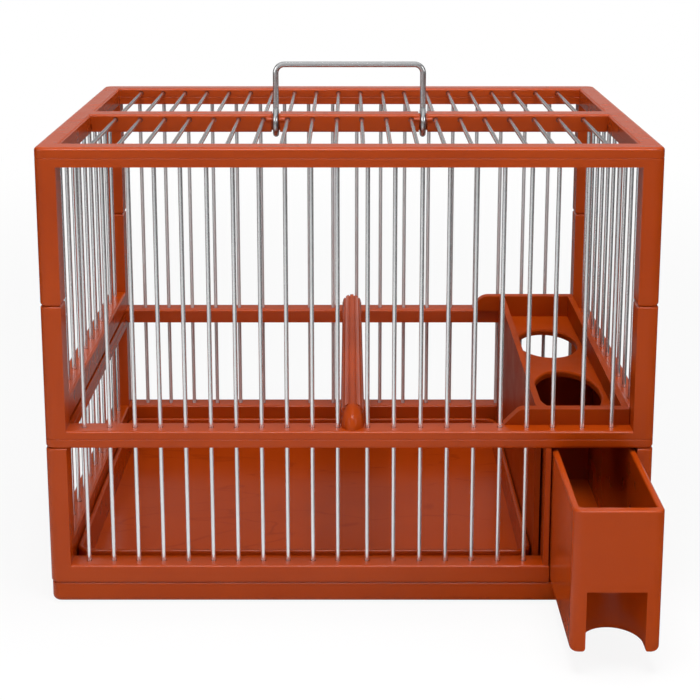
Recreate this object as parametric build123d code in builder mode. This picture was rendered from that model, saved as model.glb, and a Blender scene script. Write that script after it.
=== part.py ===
from build123d import *

import os

os.makedirs("parts", exist_ok=True)

# Driving dimensions, in millimetres.
# The origin is the centre of the pan's underside. The front faces -Y, and +X is to the right.

# plan of the cage
cage_width = 250.0
cage_depth = 203.0
side_width = 8.8  # posts and side rails, from left to right
rail_width = 11.5  # posts, front and back rails, from front to back
corner_radius = 4.0  # upright outer corners
lip_round = 1.2  # rounded lips of the stacked pieces where posts meet
top_round = 1.4  # outer edge of the top face
edge_round = 1.0  # other moulded edges
fine_round = 0.3  # edges at the two fine seams

# heights of the stacked pieces
pan_height = 8.6
lower_height = 59.0
ring_height = 3.8
middle_height = 56.3
upper_height = 60.3
top_height = 4.3

# rails of each piece
bottom_rail_height = 7.7  # the low front rail
wall_rail_height = 16.2  # the taller bottom rails at the sides and the back
mid_rail_height = 3.6  # the front mid rail
back_rail_height = 5.5
back_rail_drop = 1.3  # back rail below the other mid rails, where the ring is open
left_rail_height = 14.9
right_rail_height = 6.6  # low, because the tray's wall stands beside it
side_groove_height = 2.0
side_groove_depth = 2.5
upper_rail_height = 3.6
bar_width = 12.0
bar_height = 8.0
bar_fit = 0.2  # ends of the cross bar and the dropped back rail to their neighbours

# pegs that hold the stack together
peg_diameter = 3.6
peg_inset = 4.0  # from the outside of the posts
peg_length = 5.0
top_peg_length = 2.4
peg_clearance = 0.1

# pan
pan_inset = 0.3
pan_bottom_round = 2.2
pan_floor = 4.0
pan_lip_wall = 2.2
pan_lip_rise = 2.0  # lip above the front rail
pan_lip_radius = 7.0
pan_lip_gap = 0.3

# steel wires, with each row's margin from the inside of the posts or the mullion to its first wire
wire_diameter = 1.8
wire_clearance = 0.25
socket_depth = 5.0
shallow_socket = 2.0
front_margin = 6.9
mullion_margin = 7.7  # tall front wires
short_margin = 0.8  # short front wires, from the mullion
short_end_margin = 8.1  # short front wires, from the post
back_left_margin = 9.4
back_right_margin = 14.1
side_margin = 8.2
top_margin = 11.0
left_wire_count = 11  # front wires left of the perch
right_wire_count = 7  # tall front wires right of the perch
short_wire_count = 3  # front wires over the drawer
back_wire_count = 18
side_wire_count = 11
top_wire_count = 20
top_wire_drop = 2.4  # centre of the top wires below the top face

# perch
perch_x = 1.3
perch_diameter = 9.8
perch_seat_depth = 0.6  # how much the flat underside cuts into the round
perch_nose_length = 8.5
perch_nose_setback = 0.8  # tip behind the front face
perch_flutes = 12
flute_radius = 0.45
flute_depth = 0.7
perch_wire_gap = 0.3
perch_back_gap = 0.4
perch_seat_gap = 0.3  # notch over the higher back rail

# feeder bay on the right: drawer and partition
bay_recess = 2.0  # drawer bay let into the right posts and rail
drawer_width = 34.2
drawer_length = 185.0
drawer_pulled = 66.5
drawer_wall = 2.6
drawer_front_wall = 4.2
drawer_rim_round = 1.0
drawer_side_gap = 0.3
drawer_floor_gap = 0.3
drawer_top_gap = 1.2
drawer_corner = 3.5
drawer_inner_corner = 1.5
drawer_foot_round = 2.2
notch_side = 5.7  # foot on each side of the notch
notch_height = 24.9
notch_straight = 6.0
scoop_depth = 15.3  # hollow behind the straight part of the notch
mullion_gap = 0.7  # mullion to drawer
mullion_width = 2.2
mullion_setback = 0.4
partition_step = 3.2  # partition's left face from the mullion's
partition_thickness = 2.4

# feeder tray over the drawer
tray_front_height = 6.7  # front wall above the front mid rail
tray_back_height = 7.8  # back wall above the back rail
tray_wall = 2.7
tray_end_wall = 5.2
tray_bearing = 3.0  # how far the end walls stand on the rails
tray_floor_thickness = 2.8
tray_floor_drop = 1.0  # floor below the top of the front mid rail
tray_fit = 0.3
tray_hole_width = 28.5
front_hole_length = 64.0
front_hole_y = -43.0
back_hole_length = 50.0
back_hole_y = 36.3
front_ear_length = 13.6
front_ear_round = 5.0
back_ear_length = 12.5
back_ear_radius = 7.0

# wire handle
handle_wire = 2.6
handle_pitch_count = 3  # pitches of the top wires from the middle of the cage to each leg
handle_rise = 25.9  # hinge line to the middle of the grip
handle_bend = 3.9
journal_diameter = 7.6  # round necks of the cross bar that the eyes turn on
eye_clearance = 0.5
collar_radius = 1.3
collar_proud = 0.6
collar_gap = 0.6

# Levels and lines worked out from the sizes above
half_w = cage_width / 2
half_d = cage_depth / 2
in_w = half_w - side_width
in_d = half_d - rail_width
wire_col = half_w - side_width / 2
wire_row = half_d - rail_width / 2
wire_r = wire_diameter / 2
bore_r = wire_r + wire_clearance

pan_top = pan_height
bottom_rail_top = pan_top + bottom_rail_height
wall_rail_top = pan_top + wall_rail_height
lower_top = pan_top + lower_height
ring_top = lower_top + ring_height
mid_rail_top = ring_top + mid_rail_height
back_rail_top = ring_top + back_rail_height
left_rail_top = ring_top + left_rail_height
right_rail_top = ring_top + right_rail_height
middle_top = ring_top + middle_height
upper_top = middle_top + upper_height
upper_rail_bottom = upper_top - upper_rail_height
cage_top = upper_top + top_height
bar_bottom = cage_top - bar_height
top_wire_z = cage_top - top_wire_drop
hinge_z = cage_top - bar_height / 2

bay_right = in_w + bay_recess
drawer_right = bay_right - drawer_side_gap
drawer_left = drawer_right - drawer_width
front_rail_end = drawer_left - drawer_side_gap
mullion_right = drawer_left - mullion_gap
mullion_left = mullion_right - mullion_width
partition_left = mullion_left - partition_step
drawer_front = -half_d - drawer_pulled
drawer_bottom = pan_top + drawer_floor_gap
drawer_top = lower_top - drawer_top_gap


def spread(first, last, count):
    return [first + (last - first) * i / (count - 1) for i in range(count)]


# Front wires stand either side of the perch, and those over the drawer stop at the mid rail
perch_half_gap = perch_diameter / 2 + perch_wire_gap + wire_r
tall_xs = spread(-in_w + front_margin, perch_x - perch_half_gap, left_wire_count)
tall_xs += spread(perch_x + perch_half_gap, mullion_left - mullion_margin, right_wire_count)
short_xs = spread(mullion_right + short_margin, in_w - short_end_margin, short_wire_count)
back_xs = spread(-in_w + back_left_margin, in_w - back_right_margin, back_wire_count)
tall_points = [(x, -wire_row) for x in tall_xs]
short_points = [(x, -wire_row) for x in short_xs]
back_points = [(x, wire_row) for x in back_xs]
side_ys = spread(-in_d + side_margin, in_d - side_margin, side_wire_count)
left_points = [(-wire_col, y) for y in side_ys]
right_points = [(wire_col, y) for y in side_ys]
top_xs = spread(-in_w + top_margin, in_w - top_margin, top_wire_count)
top_pitch = top_xs[1] - top_xs[0]
side_points = left_points + right_points
upright_points = tall_points + short_points + back_points + side_points
peg_col = half_w - peg_inset
peg_row = half_d - peg_inset
post_points = [(x, y) for x in (-peg_col, peg_col) for y in (-peg_row, peg_row)]
upwards = (Align.CENTER, Align.CENTER, Align.MIN)


def bores(points, radius, bottom, top):
    with Locations(*[(x, y, bottom) for x, y in points]):
        Cylinder(radius, top - bottom, align=upwards, mode=Mode.SUBTRACT)


def pegs(bottom, length):
    with Locations(*[(x, y, bottom) for x, y in post_points]):
        Cylinder(peg_diameter / 2, length, align=upwards)


def peg_sockets(bottom, length):
    bores(post_points, peg_diameter / 2 + peg_clearance, bottom, bottom + length)


def ring_plan():
    RectangleRounded(cage_width, cage_depth, corner_radius)
    Rectangle(2 * in_w, 2 * in_d, mode=Mode.SUBTRACT)


def post_plan():
    RectangleRounded(cage_width, cage_depth, corner_radius)
    Rectangle(2 * in_w, 2 * cage_depth, mode=Mode.SUBTRACT)
    Rectangle(2 * cage_width, 2 * in_d, mode=Mode.SUBTRACT)


def open_side(y):
    with Locations((0, y)):
        Rectangle(2 * in_w, 2 * rail_width, mode=Mode.SUBTRACT)


def drawer_bay():
    with Locations((0, in_d)):
        Rectangle(bay_right, in_d + half_d, align=(Align.MIN, Align.MAX), mode=Mode.SUBTRACT)


def edges_at(piece, z):
    return piece.edges().filter_by_position(Axis.Z, z - 0.001, z + 0.001)


# Edges on the outside of the cage lie beyond the wires
def outer_edges_at(piece, z):
    return edges_at(piece, z).filter_by(
        lambda e: abs(e.center().X) > wire_col + wire_r or abs(e.center().Y) > wire_row + wire_r
    )


def inner_edges_at(piece, z):
    return edges_at(piece, z).filter_by(lambda e: abs(e.center().X) < wire_col and abs(e.center().Y) < wire_row)


# Pan: a flat tray with a lip that stands inside the bottom rails, and a flat runway for the drawer
lip_left = -in_w + pan_lip_gap
lip_right = partition_left - pan_lip_gap
lip_half_d = in_d - pan_lip_gap
lip_x = (lip_left + lip_right) / 2
lip_length = lip_right - lip_left
lip_top = bottom_rail_top + pan_lip_rise
with BuildPart() as base_pan:
    with BuildSketch():
        RectangleRounded(cage_width - 2 * pan_inset, cage_depth - 2 * pan_inset, corner_radius)
    extrude(amount=pan_height)
    fillet(edges_at(base_pan, 0), pan_bottom_round)
    fillet(edges_at(base_pan, pan_top), edge_round)
    with BuildSketch(Plane.XY.offset(pan_floor)):
        with Locations((lip_x, 0)):
            RectangleRounded(lip_length, 2 * lip_half_d, pan_lip_radius)
    extrude(amount=lip_top - pan_floor)
    with BuildSketch(Plane.XY.offset(pan_floor)):
        with Locations((lip_x, 0)):
            RectangleRounded(
                lip_length - 2 * pan_lip_wall, 2 * (lip_half_d - pan_lip_wall), pan_lip_radius - pan_lip_wall
            )
    extrude(amount=lip_top, mode=Mode.SUBTRACT)
    fillet(edges_at(base_pan, lip_top), edge_round)
    pegs(pan_top, peg_length)
base_pan.part.label = "base_pan"
export_step(base_pan.part, "parts/base_pan.step")

# Lower frame: a low front rail open at the drawer, taller rails round the other sides, four posts,
# and a mullion beside the drawer
with BuildPart() as lower_frame:
    with BuildSketch(Plane.XY.offset(pan_top)):
        with Locations((-wire_col, -wire_row)):
            Rectangle(wire_col + front_rail_end, rail_width, align=(Align.MIN, Align.CENTER))
    extrude(amount=bottom_rail_height)
    fillet(edges_at(lower_frame, bottom_rail_top), edge_round)
    with BuildSketch(Plane.XY.offset(pan_top)):
        ring_plan()
        open_side(-half_d)
        drawer_bay()
    extrude(amount=wall_rail_height)
    fillet(edges_at(lower_frame, wall_rail_top), edge_round)
    with BuildSketch(Plane.XY.offset(pan_top)):
        post_plan()
        drawer_bay()
    extrude(amount=lower_height)
    with BuildSketch(Plane.XY.offset(bottom_rail_top - edge_round)):
        with Locations((mullion_right, -in_d)):
            Rectangle(mullion_width, rail_width - mullion_setback, align=(Align.MAX, Align.MAX))
    extrude(amount=lower_top - bottom_rail_top + edge_round)
    fillet(outer_edges_at(lower_frame, pan_top), edge_round)
    fillet(edges_at(lower_frame, lower_top).filter_by(lambda e: abs(e.center().X) > in_w), lip_round)
    bores(tall_points, bore_r, bottom_rail_top - socket_depth, bottom_rail_top)
    bores(back_points + side_points, bore_r, wall_rail_top - socket_depth, wall_rail_top)
    peg_sockets(pan_top, peg_length)
    pegs(lower_top, ring_height + peg_length)
lower_frame.part.label = "lower_frame"
export_step(lower_frame.part, "parts/lower_frame.step")

# Mid ring: the flat ring that the lower posts carry, open at the back
with BuildPart() as mid_ring:
    with BuildSketch(Plane.XY.offset(lower_top)):
        ring_plan()
        open_side(half_d)
    extrude(amount=ring_height)
    fillet(outer_edges_at(mid_ring, lower_top), lip_round)
    fillet(edges_at(mid_ring, ring_top), fine_round)
    bores(tall_points + side_points, bore_r, lower_top, ring_top)
    bores(short_points, bore_r, ring_top - shallow_socket, ring_top)
    peg_sockets(lower_top, ring_height)
mid_ring.part.label = "mid_ring"
export_step(mid_ring.part, "parts/mid_ring.step")

# Middle frame: four mid rails of different heights, a groove inside the tall left one, and four posts
mid_rails = [
    (0, -wire_row, 2 * wire_col, rail_width, mid_rail_height),
    (0, wire_row, 2 * wire_col, rail_width, back_rail_height),
    (-wire_col, 0, side_width, 2 * wire_row, left_rail_height),
    (wire_col, 0, side_width, 2 * wire_row, right_rail_height),
]
with BuildPart() as middle_frame:
    for x, y, length, depth, height in mid_rails:
        with BuildSketch(Plane.XY.offset(ring_top)):
            with Locations((x, y)):
                Rectangle(length, depth)
        extrude(amount=height)
        fillet(edges_at(middle_frame, ring_top + height), edge_round)
    with BuildSketch(Plane.XY.offset(mid_rail_top)):
        with Locations((-in_w, 0)):
            Rectangle(2 * side_groove_depth, 2 * in_d)
    extrude(amount=side_groove_height, mode=Mode.SUBTRACT)
    with BuildSketch(Plane.XY.offset(ring_top)):
        post_plan()
    extrude(amount=middle_height)
    fillet(edges_at(middle_frame, ring_top), fine_round)
    fillet(edges_at(middle_frame, middle_top), lip_round)
    with BuildSketch(Plane.XY.offset(ring_top - back_rail_drop)):
        with Locations((0, wire_row)):
            Rectangle(2 * (in_w - bar_fit), rail_width)
    extrude(amount=back_rail_drop + edge_round)
    bores(upright_points, bore_r, ring_top, left_rail_top)
    bores(back_points, bore_r, ring_top - back_rail_drop, ring_top)
    peg_sockets(ring_top, peg_length)
    pegs(middle_top, peg_length)
middle_frame.part.label = "middle_frame"
export_step(middle_frame.part, "parts/middle_frame.step")

# Upper frame: four posts under a thin rail
with BuildPart() as upper_frame:
    with BuildSketch(Plane.XY.offset(middle_top)):
        post_plan()
    extrude(amount=upper_height)
    fillet(edges_at(upper_frame, middle_top), lip_round)
    with BuildSketch(Plane.XY.offset(upper_rail_bottom)):
        ring_plan()
    extrude(amount=upper_rail_height)
    fillet(edges_at(upper_frame, upper_top), fine_round)
    bores(upright_points, bore_r, upper_rail_bottom, upper_rail_bottom + shallow_socket)
    peg_sockets(middle_top, peg_length)
    pegs(upper_top, top_peg_length)
upper_frame.part.label = "upper_frame"
export_step(upper_frame.part, "parts/upper_frame.step")

# Top frame: a flat ring with a cross bar, which has a round neck for each of the handle's eyes,
# with collars either side
handle_x = handle_pitch_count * top_pitch
neck_length = handle_wire + 2 * collar_gap
collar_length = top_pitch / 2 - wire_r - handle_wire / 2 - 2 * collar_gap
collar_offset = handle_wire / 2 + collar_gap + collar_length / 2
collar_xs = [side * handle_x + step * collar_offset for side in (-1, 1) for step in (-1, 1)]
collar_y = bar_width / 2 + collar_proud - collar_radius
with BuildPart() as top_frame:
    with BuildSketch(Plane.XY.offset(upper_top)):
        ring_plan()
        Rectangle(2 * in_w, bar_width)
    extrude(amount=top_height)
    with BuildSketch(Plane.XY.offset(bar_bottom)):
        Rectangle(2 * (in_w - bar_fit), bar_width)
    extrude(amount=bar_height)
    fillet(outer_edges_at(top_frame, cage_top), top_round)
    fillet(inner_edges_at(top_frame, cage_top), edge_round)
    fillet(edges_at(top_frame, bar_bottom).filter_by(Axis.X), edge_round)
    fillet(outer_edges_at(top_frame, upper_top), fine_round)
    with Locations((-handle_x, 0, bar_bottom), (handle_x, 0, bar_bottom)):
        Box(neck_length, bar_width, bar_height, align=upwards, mode=Mode.SUBTRACT)
    with Locations((-handle_x, 0, hinge_z), (handle_x, 0, hinge_z)):
        Cylinder(journal_diameter / 2, neck_length, rotation=(0, 90, 0))
    with Locations(*[(x, y, top_wire_z) for x in collar_xs for y in (-collar_y, collar_y)]):
        Cylinder(collar_radius, collar_length, rotation=(0, 90, 0))
    with Locations(*[(x, 0, top_wire_z) for x in top_xs]):
        Cylinder(bore_r, 2 * wire_row, rotation=(90, 0, 0), mode=Mode.SUBTRACT)
    peg_sockets(upper_top, top_peg_length)
top_frame.part.label = "top_frame"
export_step(top_frame.part, "parts/top_frame.step")

# Upright wires, in groups, from their sockets in the bottom rails or the mid ring to the upper rail
wire_top = upper_rail_bottom + shallow_socket
wall_wire_bottom = wall_rail_top - socket_depth
wire_groups = {
    "front_wires": (tall_points, bottom_rail_top - socket_depth),
    "front_wires_over_drawer": (short_points, ring_top - shallow_socket),
    "back_wires": (back_points, wall_wire_bottom),
    "left_wires": (left_points, wall_wire_bottom),
    "right_wires": (right_points, wall_wire_bottom),
}
for name, (points, bottom) in wire_groups.items():
    with BuildPart() as wires:
        with Locations(*[(x, y, bottom) for x, y in points]):
            Cylinder(wire_r, wire_top - bottom, align=upwards)
    wires.part.label = name
    export_step(wires.part, f"parts/{name}.step")

# Top wires, from the front rail through the cross bar to the back rail
with BuildPart() as top_wires:
    with Locations(*[(x, 0, top_wire_z) for x in top_xs]):
        Cylinder(wire_r, 2 * wire_row, rotation=(90, 0, 0))
top_wires.part.label = "top_wires"
export_step(top_wires.part, "parts/top_wires.step")

# Perch: a fluted bar with a smooth domed nose and a flat underside, laid on the front and back mid rails
perch_r = perch_diameter / 2
perch_z = mid_rail_top + perch_r - perch_seat_depth
nose_height = perch_diameter - perch_seat_depth
nose_base = -half_d + perch_nose_setback + perch_nose_length
perch_back = wire_row - wire_r - perch_back_gap
perch_end = Plane(origin=(perch_x, perch_back, perch_z), z_dir=(0, -1, 0))
nose_ball = scale(Sphere(perch_r), by=(1, perch_nose_length / perch_r, nose_height / perch_r))
nose = split(nose_ball, bisect_by=Plane.XZ)
with BuildPart() as perch:
    with BuildSketch(perch_end):
        Circle(perch_r)
        with PolarLocations(perch_r + flute_radius - flute_depth, perch_flutes, 90 + 180 / perch_flutes):
            Circle(flute_radius, mode=Mode.SUBTRACT)
    extrude(amount=perch_back - nose_base)
    add(nose.moved(Location((perch_x, nose_base, mid_rail_top))))
    with Locations((perch_x, 0, mid_rail_top)):
        Box(cage_width, 2 * cage_depth, 2 * perch_diameter, align=(Align.CENTER, Align.CENTER, Align.MAX),
            mode=Mode.SUBTRACT)
    with Locations((perch_x, in_d - perch_seat_gap, back_rail_top)):
        Box(cage_width, cage_depth, perch_diameter, align=(Align.CENTER, Align.MIN, Align.MAX),
            mode=Mode.SUBTRACT)
perch.part.label = "perch"
export_step(perch.part, "parts/perch.step")

# Partition: the upright wall between the bird's room and the drawer
tray_floor_top = mid_rail_top - tray_floor_drop
tray_underside = tray_floor_top - tray_floor_thickness
with BuildPart() as partition:
    with Locations((partition_left, 0, pan_top)):
        Box(partition_thickness, 2 * (in_d - tray_fit), tray_underside - pan_top,
            align=(Align.MIN, Align.CENTER, Align.MIN))
partition.part.label = "partition"
export_step(partition.part, "parts/partition.step")

# Feeder tray: a floor with two feeding holes, end walls that stand on the rails, and side walls
# whose tops slope from the higher back wall to the front wall
tray_left = partition_left
tray_right = in_w - tray_fit
tray_width = tray_right - tray_left
tray_x = (tray_left + tray_right) / 2
tray_half_d = in_d - tray_fit
end_wall_face = in_d + tray_bearing
end_wall_inside = end_wall_face - tray_end_wall
tray_front_top = mid_rail_top + tray_front_height
tray_back_top = back_rail_top + tray_back_height
front_ear = tray_left - front_ear_length
back_ear = tray_left - back_ear_length
with BuildPart() as feeder_tray:
    with BuildSketch(Plane.XY.offset(tray_underside)):
        with Locations((tray_x, 0)):
            Rectangle(tray_width, 2 * tray_half_d)
        for hole_y, hole_length in ((front_hole_y, front_hole_length), (back_hole_y, back_hole_length)):
            with Locations((tray_x, hole_y)):
                Ellipse(tray_hole_width / 2, hole_length / 2, mode=Mode.SUBTRACT)
    extrude(amount=tray_floor_thickness)
    hole_rims = edges_at(feeder_tray, tray_floor_top).filter_by(
        lambda e: tray_left < e.center().X < tray_right and abs(e.center().Y) < end_wall_inside
    )
    fillet(hole_rims, edge_round)
    with BuildSketch(Plane.XY.offset(tray_underside)):
        with Locations((tray_x, -tray_half_d)):
            Rectangle(tray_width, tray_half_d - end_wall_inside, align=(Align.CENTER, Align.MIN))
        with Locations((tray_x, tray_half_d)):
            Rectangle(tray_width, tray_half_d - end_wall_inside, align=(Align.CENTER, Align.MAX))
    extrude(amount=back_rail_top - tray_underside)
    with BuildSketch(Plane.YZ.offset(tray_left)) as wall_profile:
        with BuildLine():
            Polyline(
                (-end_wall_inside, tray_underside), (-end_wall_inside, tray_front_top),
                (end_wall_inside, tray_back_top), (end_wall_inside, tray_underside), close=True,
            )
        make_face()
    extrude(amount=tray_wall)
    extrude(wall_profile.sketch.moved(Location((tray_width - tray_wall, 0, 0))), amount=tray_wall)
    with BuildSketch(Plane.XZ.offset(end_wall_inside)):
        with BuildLine():
            Polyline(
                (front_ear, mid_rail_top), (front_ear + tray_front_height, tray_front_top),
                (tray_right, tray_front_top), (tray_right, mid_rail_top), close=True,
            )
        make_face()
        fillet(vertices().sort_by(Axis.X)[1], front_ear_round)
    extrude(amount=tray_end_wall)
    with BuildSketch(Plane.XZ.offset(-end_wall_face)):
        with Locations((back_ear, back_rail_top)):
            Rectangle(tray_right - back_ear, tray_back_height, align=(Align.MIN, Align.MIN))
        fillet(vertices().sort_by(Axis.X)[:2].sort_by(Axis.Y)[-1], back_ear_radius)
    extrude(amount=tray_end_wall)
feeder_tray.part.label = "feeder_tray"
export_step(feeder_tray.part, "parts/feeder_tray.step")

# Drawer, drawn part of the way out: an open box with a finger scoop under a notch in its front
drawer_x = (drawer_left + drawer_right) / 2
drawer_inner_width = drawer_width - 2 * drawer_wall
drawer_inner_length = drawer_length - drawer_wall - drawer_front_wall
drawer_inner_y = drawer_front + drawer_front_wall + drawer_inner_length / 2
notch_width = drawer_width - 2 * notch_side
scoop_top = drawer_bottom + notch_height


def drawer_inside():
    with Locations((drawer_x, drawer_inner_y)):
        RectangleRounded(drawer_inner_width, drawer_inner_length, drawer_inner_corner)


def scoop_plan(width, wall, mode):
    with Locations((drawer_x, drawer_front)):
        Rectangle(width, notch_straight, align=(Align.CENTER, Align.MIN), mode=mode)
    with Locations((drawer_x, drawer_front + notch_straight)):
        Ellipse(notch_width / 2 + wall, scoop_depth + wall, mode=mode)


with BuildPart() as drawer:
    with BuildSketch(Plane.XY.offset(drawer_bottom)):
        with Locations((drawer_x, drawer_front)):
            Rectangle(drawer_width, drawer_length, align=(Align.CENTER, Align.MIN))
        fillet(vertices().group_by(Axis.Y)[0], drawer_corner)
        fillet(vertices().group_by(Axis.Y)[-1], edge_round)
    extrude(amount=drawer_top - drawer_bottom)
    with BuildSketch(Plane.XY.offset(drawer_bottom)):
        scoop_plan(notch_width, 0, Mode.ADD)
    extrude(amount=notch_height, mode=Mode.SUBTRACT)
    fillet(edges_at(drawer, drawer_bottom), drawer_foot_round)
    with BuildSketch(Plane.XY.offset(drawer_bottom + drawer_wall)):
        drawer_inside()
        scoop_plan(drawer_width, drawer_wall, Mode.SUBTRACT)
    extrude(amount=notch_height, mode=Mode.SUBTRACT)
    with BuildSketch(Plane.XY.offset(scoop_top + drawer_wall)):
        drawer_inside()
    extrude(amount=drawer_top - scoop_top, mode=Mode.SUBTRACT)
    fillet(edges_at(drawer, drawer_top), drawer_rim_round)
drawer.part.label = "drawer"
export_step(drawer.part, "parts/drawer.step")

# Handle: one bent wire whose two eyes turn loosely on the necks of the cross bar
eye_radius = journal_diameter / 2 + eye_clearance + handle_wire / 2
leg_bottom = hinge_z + eye_radius
grip_z = hinge_z + handle_rise
with BuildPart() as handle:
    with BuildLine(Plane.XZ) as bail:
        FilletPolyline(
            (-handle_x, leg_bottom), (-handle_x, grip_z), (handle_x, grip_z), (handle_x, leg_bottom),
            radius=handle_bend,
        )
    with BuildSketch(Plane.XY.offset(leg_bottom)):
        with Locations((-handle_x, 0)):
            Circle(handle_wire / 2)
    sweep(path=bail.wires()[0])
    with Locations((-handle_x, 0, hinge_z), (handle_x, 0, hinge_z)):
        Torus(eye_radius, handle_wire / 2, rotation=(0, 90, 0))
handle.part.label = "handle"
export_step(handle.part, "parts/handle.step")
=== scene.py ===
import math

import bpy
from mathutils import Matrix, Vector


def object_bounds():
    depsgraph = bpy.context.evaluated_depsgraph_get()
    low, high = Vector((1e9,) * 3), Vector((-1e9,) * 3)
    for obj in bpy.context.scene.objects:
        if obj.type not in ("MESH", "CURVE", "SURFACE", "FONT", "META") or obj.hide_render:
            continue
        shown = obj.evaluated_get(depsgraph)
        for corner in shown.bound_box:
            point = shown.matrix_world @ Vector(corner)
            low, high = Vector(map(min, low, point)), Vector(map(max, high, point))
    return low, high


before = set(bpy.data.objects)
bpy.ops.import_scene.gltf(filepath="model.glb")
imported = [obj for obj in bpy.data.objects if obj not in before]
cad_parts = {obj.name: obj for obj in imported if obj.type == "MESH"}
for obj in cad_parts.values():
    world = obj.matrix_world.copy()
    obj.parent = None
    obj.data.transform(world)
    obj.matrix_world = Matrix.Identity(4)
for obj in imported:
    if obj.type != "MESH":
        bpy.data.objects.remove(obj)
cadLow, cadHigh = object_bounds()
print("frame loaded:", len(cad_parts), "nodes")


# small helpers for node trees
def emptyTree(owner):
    owner.use_nodes = True
    owner.node_tree.nodes.clear()
    return owner.node_tree


def addNode(tree, kind, values=None, **settings):
    node = tree.nodes.new(kind)
    for key, value in settings.items():
        setattr(node, key, value)
    for key, value in (values or {}).items():
        node.inputs[key].default_value = value
    return node


def blankMaterial(name):
    material = bpy.data.materials.new(name)
    tree = emptyTree(material)
    surface = addNode(tree, "ShaderNodeBsdfPrincipled")
    output = addNode(tree, "ShaderNodeOutputMaterial")
    tree.links.new(surface.outputs["BSDF"], output.inputs["Surface"])
    return material, tree, surface


def mathOn(tree, operation, first, second):
    node = addNode(tree, "ShaderNodeMath", operation=operation)
    tree.links.new(first, node.inputs[0])
    tree.links.new(second, node.inputs[1])
    return node.outputs[0]


def mixShaders(tree, factor, first, second):
    mix = addNode(tree, "ShaderNodeMixShader")
    for socket, source in zip(mix.inputs, (factor, first, second)):
        tree.links.new(source, socket)
    return mix.outputs[0]


def noiseOn(tree, coords, size, detail, stretch=None, distortion=0.0):
    # noise whose blotches are about size metres wide, stretched along the axes by stretch
    vector = coords.outputs["Object"]
    if stretch:
        mapping = addNode(tree, "ShaderNodeMapping", {"Scale": [1 / part for part in stretch]})
        tree.links.new(vector, mapping.inputs["Vector"])
        vector = mapping.outputs["Vector"]
    noise = addNode(tree, "ShaderNodeTexNoise",
                    {"Scale": 1 / size, "Detail": detail, "Distortion": distortion})
    tree.links.new(vector, noise.inputs["Vector"])
    return noise.outputs[0]


noiseSpan = (0.3, 0.7)  # where most values of a noise lie


def rampOn(tree, noise, low, high):
    # from low to high over the usual span of a noise
    start, end = noiseSpan
    ramp = addNode(tree, "ShaderNodeMapRange",
                   {"From Min": start, "From Max": end, "To Min": low, "To Max": high})
    tree.links.new(noise, ramp.inputs["Value"])
    return ramp.outputs["Result"]


def blendColours(tree, value, first, second):
    mix = addNode(tree, "ShaderNodeMix", data_type="RGBA")
    mix.inputs["A"].default_value = (*first, 1)
    mix.inputs["B"].default_value = (*second, 1)
    tree.links.new(value, mix.inputs["Factor"])
    return mix.outputs["Result"]


def bumpOn(tree, value, depth, below=None):
    bump = addNode(tree, "ShaderNodeBump", {"Strength": 1.0, "Distance": depth})
    tree.links.new(value, bump.inputs["Height"])
    if below:
        tree.links.new(below, bump.inputs["Normal"])
    return bump.outputs["Normal"]


# glossy brick red moulding: slow colour drift, uneven gloss, shallow flow waves and a fine skin
mouldedRed = {
    "deep": (0.385, 0.0455, 0.0021),
    "bright": (0.420, 0.0525, 0.0029),
    "drift": (0.04, 3.0),  # this and the next noises: size in metres and detail
    "patches": (0.015, 4.0),
    "waves": (0.03, 1.0),
    "skin": (0.0009, 1.0),
    "gloss": (0.20, 0.27),
    "waveDepth": 0.00001,
    "skinDepth": 0.0000008,
    "specular": 0.22,
}


def mouldedPlastic(name, look):
    material, tree, surface = blankMaterial(name)
    coords = addNode(tree, "ShaderNodeTexCoord")
    drift = rampOn(tree, noiseOn(tree, coords, *look["drift"]), 0.0, 1.0)
    colour = blendColours(tree, drift, look["deep"], look["bright"])
    tree.links.new(colour, surface.inputs["Base Color"])
    patches = noiseOn(tree, coords, *look["patches"])
    tree.links.new(rampOn(tree, patches, *look["gloss"]), surface.inputs["Roughness"])
    waves = bumpOn(tree, noiseOn(tree, coords, *look["waves"]), look["waveDepth"])
    skin = bumpOn(tree, noiseOn(tree, coords, *look["skin"]), look["skinDepth"], waves)
    tree.links.new(skin, surface.inputs["Normal"])
    surface.inputs["Specular IOR Level"].default_value = look["specular"]
    return material, tree, surface, coords, colour


# pan: the same plastic, its up-facing floor darkened all over as painted shade, with faint
# meandering dark lines
panLinesAndShade = {
    "noise": (0.055, 3.0),
    "stretch": (3.2, 1.0, 1.0),
    "wander": 0.6,
    "middle": 0.5,  # a mark runs wherever the noise crosses this value
    "width": 0.005,
    "strength": 0.50,  # share of the dark tone in a mark
    "paintedFloorShade": 0.24,  # share of the dark tone all over the floor: painted shade
    "tone": (0.17, 0.014, 0.001),
    "specular": 0.16,
}


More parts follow.
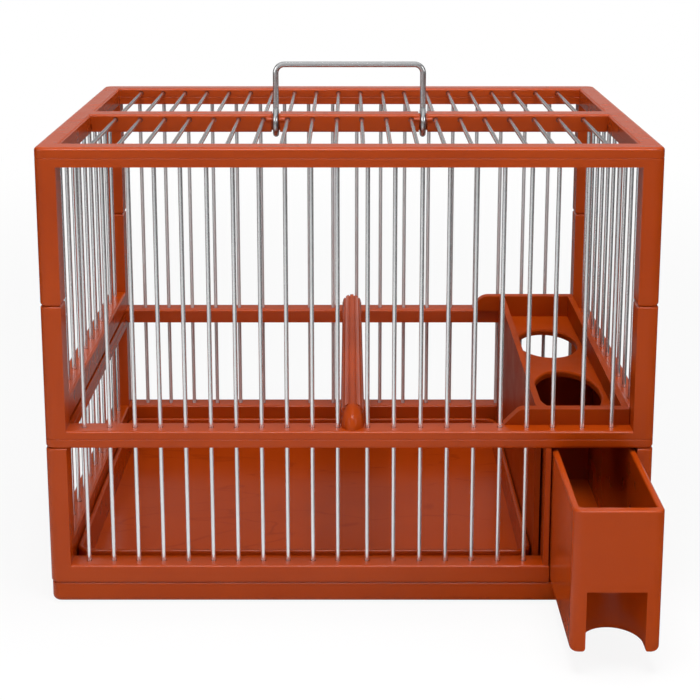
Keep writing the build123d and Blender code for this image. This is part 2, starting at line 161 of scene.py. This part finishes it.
def panPlastic(name):
    look = {**mouldedRed, "specular": panLinesAndShade["specular"]}
    material, tree, surface, coords, colour = mouldedPlastic(name, look)
    slow = noiseOn(tree, coords, *panLinesAndShade["noise"], panLinesAndShade["stretch"], panLinesAndShade["wander"])
    offset = addNode(tree, "ShaderNodeMath", {1: panLinesAndShade["middle"]}, operation="SUBTRACT")
    tree.links.new(slow, offset.inputs[0])
    away = addNode(tree, "ShaderNodeMath", operation="ABSOLUTE")
    tree.links.new(offset.outputs[0], away.inputs[0])
    line = addNode(tree, "ShaderNodeMapRange",
                   {"From Min": 0.0, "From Max": panLinesAndShade["width"],
                    "To Min": panLinesAndShade["strength"], "To Max": panLinesAndShade["paintedFloorShade"]})
    tree.links.new(away.outputs[0], line.inputs["Value"])
    # only faces that look up get the lines and the painted shade
    facing = addNode(tree, "ShaderNodeSeparateXYZ")
    tree.links.new(coords.outputs["Normal"], facing.inputs[0])
    onFloor = addNode(tree, "ShaderNodeMath", operation="MULTIPLY", use_clamp=True)
    tree.links.new(line.outputs["Result"], onFloor.inputs[0])
    tree.links.new(facing.outputs["Z"], onFloor.inputs[1])
    marked = addNode(tree, "ShaderNodeMix", data_type="RGBA")
    marked.inputs["B"].default_value = (*panLinesAndShade["tone"], 1)
    tree.links.new(onFloor.outputs[0], marked.inputs["Factor"])
    tree.links.new(colour, marked.inputs["A"])
    tree.links.new(marked.outputs["Result"], surface.inputs["Base Color"])
    return material


# bright drawn wire: fine lines along the wire and patches of duller gloss
drawnSteel = {
    "dull": (0.80, 0.81, 0.82),
    "bright": (0.90, 0.91, 0.92),
    "lines": (0.0012, 2.0),
    "lineLength": 60.0,  # how many times longer than wide
    "lineDepth": 0.000001,
    "patches": (0.02, 3.0),
    "gloss": (0.17, 0.25),
}

# the kinds of wire: which way they run, how metallic they look and how much of the tone is left;
# the back, roof and handle wires keep less of it as painted shade on the same steel
wireKinds = {
    "uprightSteel": {"along": "Z", "metallic": 0.82, "paintedShade": 1.0},
    "backSteel": {"along": "Z", "metallic": 0.45, "paintedShade": 0.80},
    "roofSteel": {"along": "Y", "metallic": 0.95, "paintedShade": 0.75},
    "handleSteel": {"along": "X", "metallic": 0.90, "paintedShade": 0.62},
}


def steelWire(name, kind):
    material, tree, surface = blankMaterial(name)
    coords = addNode(tree, "ShaderNodeTexCoord")
    stretch = [drawnSteel["lineLength"] if axis == kind["along"] else 1.0 for axis in "XYZ"]
    lines = noiseOn(tree, coords, *drawnSteel["lines"], stretch)
    # the steel's tones scaled down for the darker wire kinds: painted shade
    tones = [[kind["paintedShade"] * part for part in drawnSteel[tone]] for tone in ("dull", "bright")]
    colour = blendColours(tree, rampOn(tree, lines, 0.0, 1.0), *tones)
    tree.links.new(colour, surface.inputs["Base Color"])
    patches = noiseOn(tree, coords, *drawnSteel["patches"])
    tree.links.new(rampOn(tree, patches, *drawnSteel["gloss"]), surface.inputs["Roughness"])
    tree.links.new(bumpOn(tree, lines, drawnSteel["lineDepth"]), surface.inputs["Normal"])
    surface.inputs["Metallic"].default_value = kind["metallic"]
    return material


# tray and partition: the red made darker and duller, the darker tone painted shade for the dim
# inside of the cage; the perch is handled, so it shines less
shadedTrayTones = {
    "deep": (0.322, 0.0375, 0.0018),
    "bright": (0.350, 0.0435, 0.0025),
    "gloss": (0.35, 0.45),
    "specular": 0.04,
}
perchTones = {"specular": 0.12}

frameRed = mouldedPlastic("frameRed", mouldedRed)[0]
shadedTrayRed = mouldedPlastic("shadedTrayRed", {**mouldedRed, **shadedTrayTones})[0]
perchRed = mouldedPlastic("perchRed", {**mouldedRed, **perchTones})[0]
panRed = panPlastic("panRed")
steels = {name: steelWire(name, kind) for name, kind in wireKinds.items()}
finishes = {
    "top_wires": steels["roofSteel"],
    "back_wires": steels["backSteel"],
    "handle": steels["handleSteel"],
    "base_pan": panRed,
    "partition": shadedTrayRed,
    "feeder_tray": shadedTrayRed,
    "perch": perchRed,
}
steelNames = {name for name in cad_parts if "wires" in name or name == "handle"}
for name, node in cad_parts.items():
    plain = steels["uprightSteel"] if name in steelNames else frameRed
    node.material_slots[0].material = finishes.get(name, plain)
print("finishes set on", len(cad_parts), "nodes")


# white studio: the camera sees white, and mirrors see it pale in front, behind and above
# and dark at the sides
studio = {
    "ambient": 0.10,
    "brightWay": (-0.50, -0.866, 0.0),  # the pale side in front lies to the left
    "brightSpan": (0.40, 0.92),
    "mirrorFront": 0.85,
    "mirrorSide": 0.03,
    "backSpan": (0.40, 0.95),
    "skyBack": 1.0,
    "skyFall": (0.04, 0.14),  # height in the direction over which the backdrop dims
    "skyHigh": 0.22,  # how much of it is left above that
    "mirrorTop": 0.8,
    "topSpan": (0.45, 0.85),  # height in the direction over which the pale ceiling begins
    "floorBack": 0.20,
    "floorReach": (0.35, 1.1),  # distance over which the floor turns from near to far
    "floorFar": 0.6,  # how much of it mirrors see far away
    "floorGlow": (0.90, 1.0),  # share of plain white as seen, near and far; the rest takes shadow
    "floorShadeTone": (0.95, 0.50),  # in front of the cage and behind it; darker behind is painted shade
    "floorTurn": (-0.25, 0.0),
    "floorSize": 16.0,
    "floorDrop": 0.0002,
}
plainWhite = (1, 1, 1, 1)


def seenInMirrors(tree, path):
    # 1 for glossy and transmission rays
    return mathOn(tree, "MAXIMUM",
                  path.outputs["Is Glossy Ray"], path.outputs["Is Transmission Ray"])


def fadeOn(tree, value, span, first, last):
    # smooth change from first to last while value crosses the span
    low, high = span
    fade = addNode(tree, "ShaderNodeMapRange",
                   {"From Min": low, "From Max": high, "To Min": first, "To Max": last},
                   interpolation_type="SMOOTHSTEP")
    tree.links.new(value, fade.inputs["Value"])
    return fade.outputs["Result"]


def roomTone(tree, direction, backTone):
    # what a mirror sees in a direction: front and side tone, the pale sector behind, and height
    ahead = addNode(tree, "ShaderNodeVectorMath", {1: studio["brightWay"]},
                    operation="DOT_PRODUCT")
    tree.links.new(direction, ahead.inputs[0])
    front = fadeOn(tree, ahead.outputs["Value"], studio["brightSpan"],
                   studio["mirrorSide"], studio["mirrorFront"])
    parts = addNode(tree, "ShaderNodeSeparateXYZ")
    tree.links.new(direction, parts.inputs[0])
    back = fadeOn(tree, parts.outputs["Y"], studio["backSpan"], 0.0, backTone)
    return front, back, parts.outputs["Z"]


def paintWorld(world):
    tree = emptyTree(world)
    path = addNode(tree, "ShaderNodeLightPath")
    ambient = addNode(tree, "ShaderNodeBackground",
                      {"Color": plainWhite, "Strength": studio["ambient"]})
    white = addNode(tree, "ShaderNodeBackground", {"Color": plainWhite, "Strength": 1.0})
    mirrored = addNode(tree, "ShaderNodeBackground", {"Color": plainWhite})
    coords = addNode(tree, "ShaderNodeTexCoord")
    front, back, height = roomTone(tree, coords.outputs["Generated"], studio["skyBack"])
    fall = fadeOn(tree, height, studio["skyFall"], 1.0, studio["skyHigh"])
    around = mathOn(tree, "ADD", front, mathOn(tree, "MULTIPLY", back, fall))
    ceiling = fadeOn(tree, height, studio["topSpan"], 0.0, studio["mirrorTop"])
    tree.links.new(mathOn(tree, "ADD", around, ceiling), mirrored.inputs["Strength"])
    unseen = mixShaders(tree, seenInMirrors(tree, path), ambient.outputs[0], mirrored.outputs[0])
    whole = mixShaders(tree, path.outputs["Is Camera Ray"], unseen, white.outputs[0])
    output = addNode(tree, "ShaderNodeOutputWorld")
    tree.links.new(whole, output.inputs["Surface"])


def floorFinish(name):
    material = bpy.data.materials.new(name)
    tree = emptyTree(material)
    path = addNode(tree, "ShaderNodeLightPath")
    coords = addNode(tree, "ShaderNodeTexCoord")
    spot = coords.outputs["Object"]
    outward = addNode(tree, "ShaderNodeVectorMath", operation="NORMALIZE")
    tree.links.new(spot, outward.inputs[0])
    reach = addNode(tree, "ShaderNodeVectorMath", operation="LENGTH")
    tree.links.new(spot, reach.inputs[0])
    distance = reach.outputs["Value"]
    # the floor in mirrors: a painted glow seen only in reflections, pale in front and brightest to
    # the front left, faint behind, dark at the sides and dimmer far away
    mirrored = addNode(tree, "ShaderNodeEmission", {"Color": plainWhite})
    front, back, _ = roomTone(tree, outward.outputs["Vector"], studio["floorBack"])
    fade = fadeOn(tree, distance, studio["floorReach"], 1.0, studio["floorFar"])
    glowing = mathOn(tree, "MULTIPLY", mathOn(tree, "ADD", front, back), fade)
    tree.links.new(glowing, mirrored.inputs["Strength"])
    # the floor that takes the shadow and throws light back
    matt = addNode(tree, "ShaderNodeBsdfDiffuse")
    parts = addNode(tree, "ShaderNodeSeparateXYZ")
    tree.links.new(spot, parts.inputs[0])
    # the floor's colour, darker behind the cage: painted shade
    tone = fadeOn(tree, parts.outputs["Y"], studio["floorTurn"], *studio["floorShadeTone"])
    tree.links.new(tone, matt.inputs["Color"])
    # the floor as the camera sees it
    white = addNode(tree, "ShaderNodeEmission", {"Color": plainWhite, "Strength": 1.0})
    share = fadeOn(tree, distance, studio["floorReach"], *studio["floorGlow"])
    seen = mathOn(tree, "MULTIPLY", path.outputs["Is Camera Ray"], share)
    unseen = mixShaders(tree, seenInMirrors(tree, path), matt.outputs[0], mirrored.outputs[0])
    whole = mixShaders(tree, seen, unseen, white.outputs[0])
    output = addNode(tree, "ShaderNodeOutputMaterial")
    tree.links.new(whole, output.inputs["Surface"])
    return material


world = bpy.data.worlds.new("studioWorld")
paintWorld(world)
bpy.context.scene.world = world

side, drop = studio["floorSize"] / 2, -studio["floorDrop"]
floorCorners = [(-side, -side, drop), (side, -side, drop), (side, side, drop), (-side, side, drop)]
floorMesh = bpy.data.meshes.new("floor")
floorMesh.from_pydata(floorCorners, [], [(0, 1, 2, 3)])
floorMesh.materials.append(floorFinish("floorWhite"))
floor = bpy.data.objects.new("floor", floorMesh)
bpy.context.scene.collection.objects.link(floor)

# soft boxes: place, size and power, all aimed at the middle of the cage
# those for fill do not show in the gloss, and the strip only gives the plastic's edges their gloss
softBoxes = {
    "leftBox": {"place": (-1.15, -0.75, 0.55), "size": (0.7, 0.7), "power": 4.2},
    "rightBox": {"place": (1.15, -0.85, 0.60), "size": (0.7, 0.7), "power": 5.0},
    "topBox": {"place": (0.0, -0.27, 1.45), "size": (0.7, 0.75), "power": 22.5, "only": "fill"},
    "backBox": {"place": (0.35, 1.20, 0.70), "size": (0.7, 0.7), "power": 3.5, "only": "fill"},
    "edgeStrip": {"place": (0.0, -1.00, 1.20), "size": (0.9, 0.3), "power": 18.0, "only": "gloss"},
}
cageMiddle = (cadLow + cadHigh) / 2
for name, box in softBoxes.items():
    lamp = bpy.data.lights.new(name, "AREA")
    lamp.shape = "RECTANGLE"
    lamp.size, lamp.size_y = box["size"]
    lamp.energy = box["power"]
    holder = bpy.data.objects.new(name, lamp)
    holder.location = box["place"]
    holder.visible_diffuse = box.get("only") != "gloss"
    holder.visible_glossy = box.get("only") != "fill"
    aim = cageMiddle - Vector(box["place"])
    holder.rotation_euler = aim.to_track_quat("-Z", "Y").to_euler()
    bpy.context.scene.collection.objects.link(holder)
moulded = bpy.data.collections.new("moulded")
for name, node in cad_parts.items():
    if name not in steelNames:
        moulded.objects.link(node)
bpy.data.objects["edgeStrip"].light_linking.receiver_collection = moulded
print("studio and", len(softBoxes), "soft boxes placed")

# camera: fitted to the corners of the cage in the photograph
view = {
    "place": (0.0, -0.7548, 0.2952),
    "tilt": 77.209,
    "lens": 86.17,
    "sensor": 36.0,
    "shift": (0.0009, -0.1283),
    "nearest": 0.05,
}
cameraData = bpy.data.cameras.new("frontCamera")
cameraData.lens = view["lens"]
cameraData.sensor_width = view["sensor"]
cameraData.shift_x, cameraData.shift_y = view["shift"]
cameraData.clip_start = view["nearest"]
camera = bpy.data.objects.new("frontCamera", cameraData)
camera.location = view["place"]
camera.rotation_euler = (math.radians(view["tilt"]), 0, 0)
bpy.context.scene.collection.objects.link(camera)
bpy.context.scene.camera = camera
bpy.context.scene.view_settings.view_transform = "Standard"
print("camera set")
